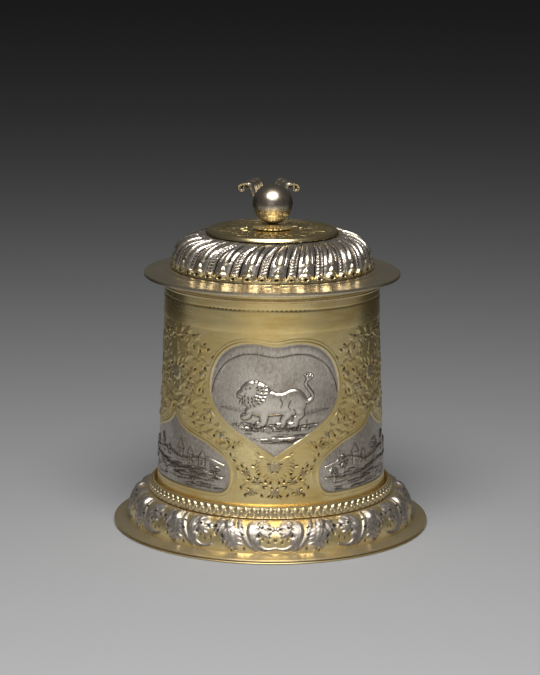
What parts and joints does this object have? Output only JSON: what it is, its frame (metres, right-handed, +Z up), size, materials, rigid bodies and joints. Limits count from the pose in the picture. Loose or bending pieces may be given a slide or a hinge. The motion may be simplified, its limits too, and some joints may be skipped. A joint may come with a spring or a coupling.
{
  "type": "tankard",
  "caption": "Parcel-gilt silver tankard with a domed foot, chased drum, hinged gadrooned cover, ball finial, double-scroll thumbpiece and scroll handle.",
  "frame": {"origin": "bottom centre of the whole tankard with its handle, on the surface that it stands on", "axes": "+Z up, +Y from the drum towards the handle, so the front medallion faces -Y; +X is to the right of someone who looks at the front"},
  "size_m": [0.1702, 0.193, 0.1838],
  "materials": {
    "gilt_silver": "fire-gilt silver, pale gold, polished with soft wear",
    "drum_silver": "chased and fire-gilt silver with bare silver medallions",
    "foot_silver": "chased silver leaves on a gilt ground, plain gilt flange",
    "ring_silver": "chased bare silver lobes, gilt at their feet",
    "bare_silver": "polished bare silver, slightly tarnished"
  },
  "bodies": {
    "vessel": {"foot_wire": "gilt_silver", "foot": "foot_silver", "bead_collar": "gilt_silver", "drum": "drum_silver", "drum_floor": "gilt_silver", "lip_wire": "gilt_silver", "hinge_block": "gilt_silver", "hinge_pin": "bare_silver", "handle": "gilt_silver", "handle_bracket": "gilt_silver"},
    "cover": {"lid_flange": "gilt_silver", "lid_bezel": "gilt_silver", "gadrooned_ring": "ring_silver", "lid_disc": "gilt_silver", "finial_boss": "gilt_silver", "finial_ball": "bare_silver", "finial_stud": "bare_silver", "finial_nut": "bare_silver", "hinge_strap": "gilt_silver", "thumbpiece": "bare_silver"}
  },
  "joints": [
    {"name": "cover_hinge", "type": "hinge", "parent": "vessel", "child": "cover", "pos_m": [0, 0.06119, 0.1382], "axis": [-1, 0, 0], "range_deg": [0, 105]}
  ]
}
